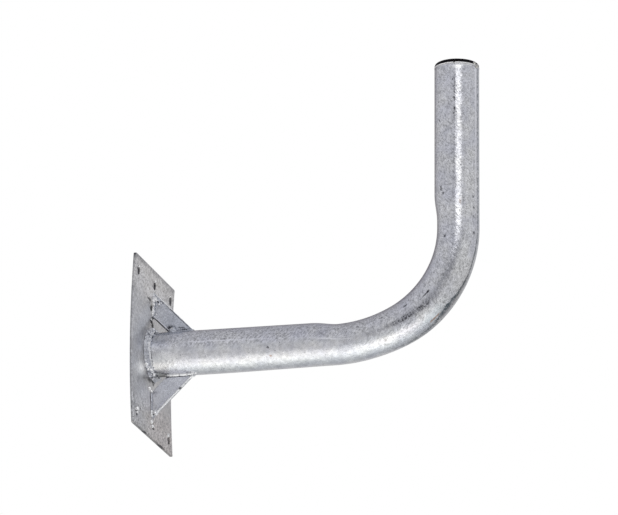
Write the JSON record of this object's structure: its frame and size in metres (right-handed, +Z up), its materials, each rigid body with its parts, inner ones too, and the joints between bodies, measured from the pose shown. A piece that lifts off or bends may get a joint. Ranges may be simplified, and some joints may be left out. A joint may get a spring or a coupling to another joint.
{
  "type": "l-bracket",
  "caption": "L-shaped wall bracket: a bent round tube welded to a flat wall plate and stiffened by gussets, to hold a mast clear of the wall.",
  "frame": {"origin": "centre of the plate's wall face, which is the centre of its six bolt holes and the axis of the arm", "axes": "+X points away from the wall along the arm, +Z up along the upright, +Y across the plate"},
  "size_m": [0.378, 0.16, 0.4135],
  "materials": {
    "zinc_plate": "hot-dip galvanised, dull silver-grey",
    "zinc_tube": "hot-dip galvanised, semi-gloss with dark flecks and runs",
    "zinc_bar": "hot-dip galvanised, smooth, blue-grey",
    "zinc_weld": "hot-dip galvanised over rippled weld, bright",
    "black_plug": "black, glossy"
  },
  "bodies": {
    "root": {"base_plate": "zinc_plate", "bent_tube": "zinc_tube", "gusset_upper": "zinc_bar", "gusset_lower": "zinc_bar", "end_plug": "black_plug", "weld_tube_root": "zinc_weld", "weld_upper_plate": "zinc_weld", "weld_upper_tube": "zinc_weld", "weld_lower_plate": "zinc_weld", "weld_lower_tube": "zinc_weld"}
  },
  "joints": []
}
